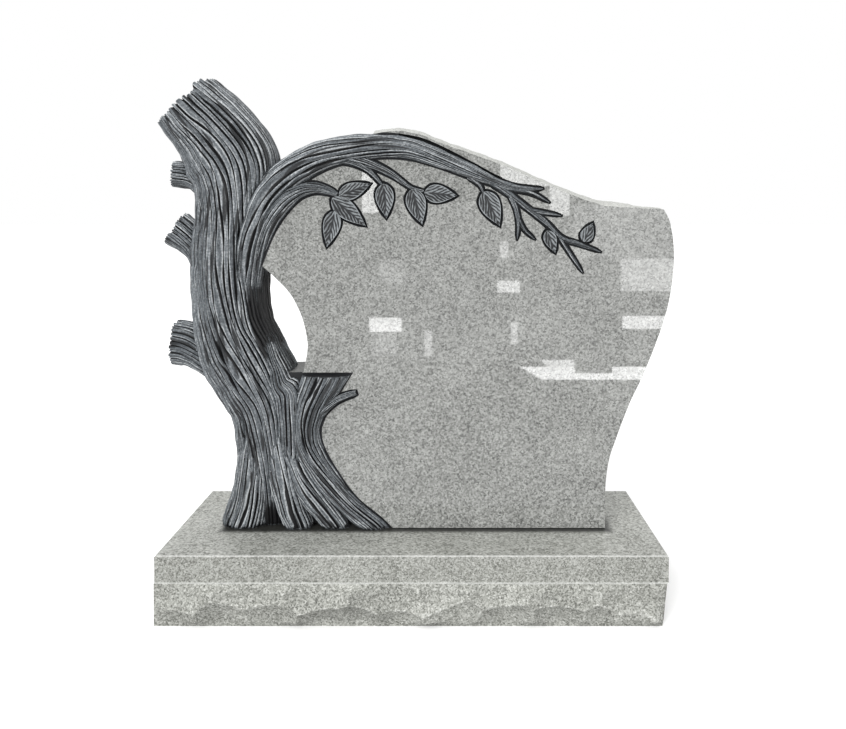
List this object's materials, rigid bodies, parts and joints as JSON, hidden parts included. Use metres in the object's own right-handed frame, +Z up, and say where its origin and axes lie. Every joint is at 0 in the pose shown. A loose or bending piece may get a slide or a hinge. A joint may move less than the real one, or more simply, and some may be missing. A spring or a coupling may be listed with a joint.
{
  "type": "headstone",
  "caption": "Upright granite headstone carved with a gnarled tree whose branch arches over a polished slab, on a wide rock-pitched base.",
  "frame": {"origin": "centre of the base's underside", "axes": "+Z up, +X to the right of a reader who faces the polished face, and -Y towards that reader; the tree is at -X"},
  "size_m": [1.1996, 0.419, 1.2055],
  "materials": {
    "carved_granite": "polished slab, with the carved tree washed black in its furrows and blue-grey on its ridges",
    "base_granite": "fine-rubbed top and margin, rock-pitched band below"
  },
  "bodies": {
    "root": {"upright_stone": "carved_granite", "base_stone": "base_granite"}
  },
  "joints": []
}
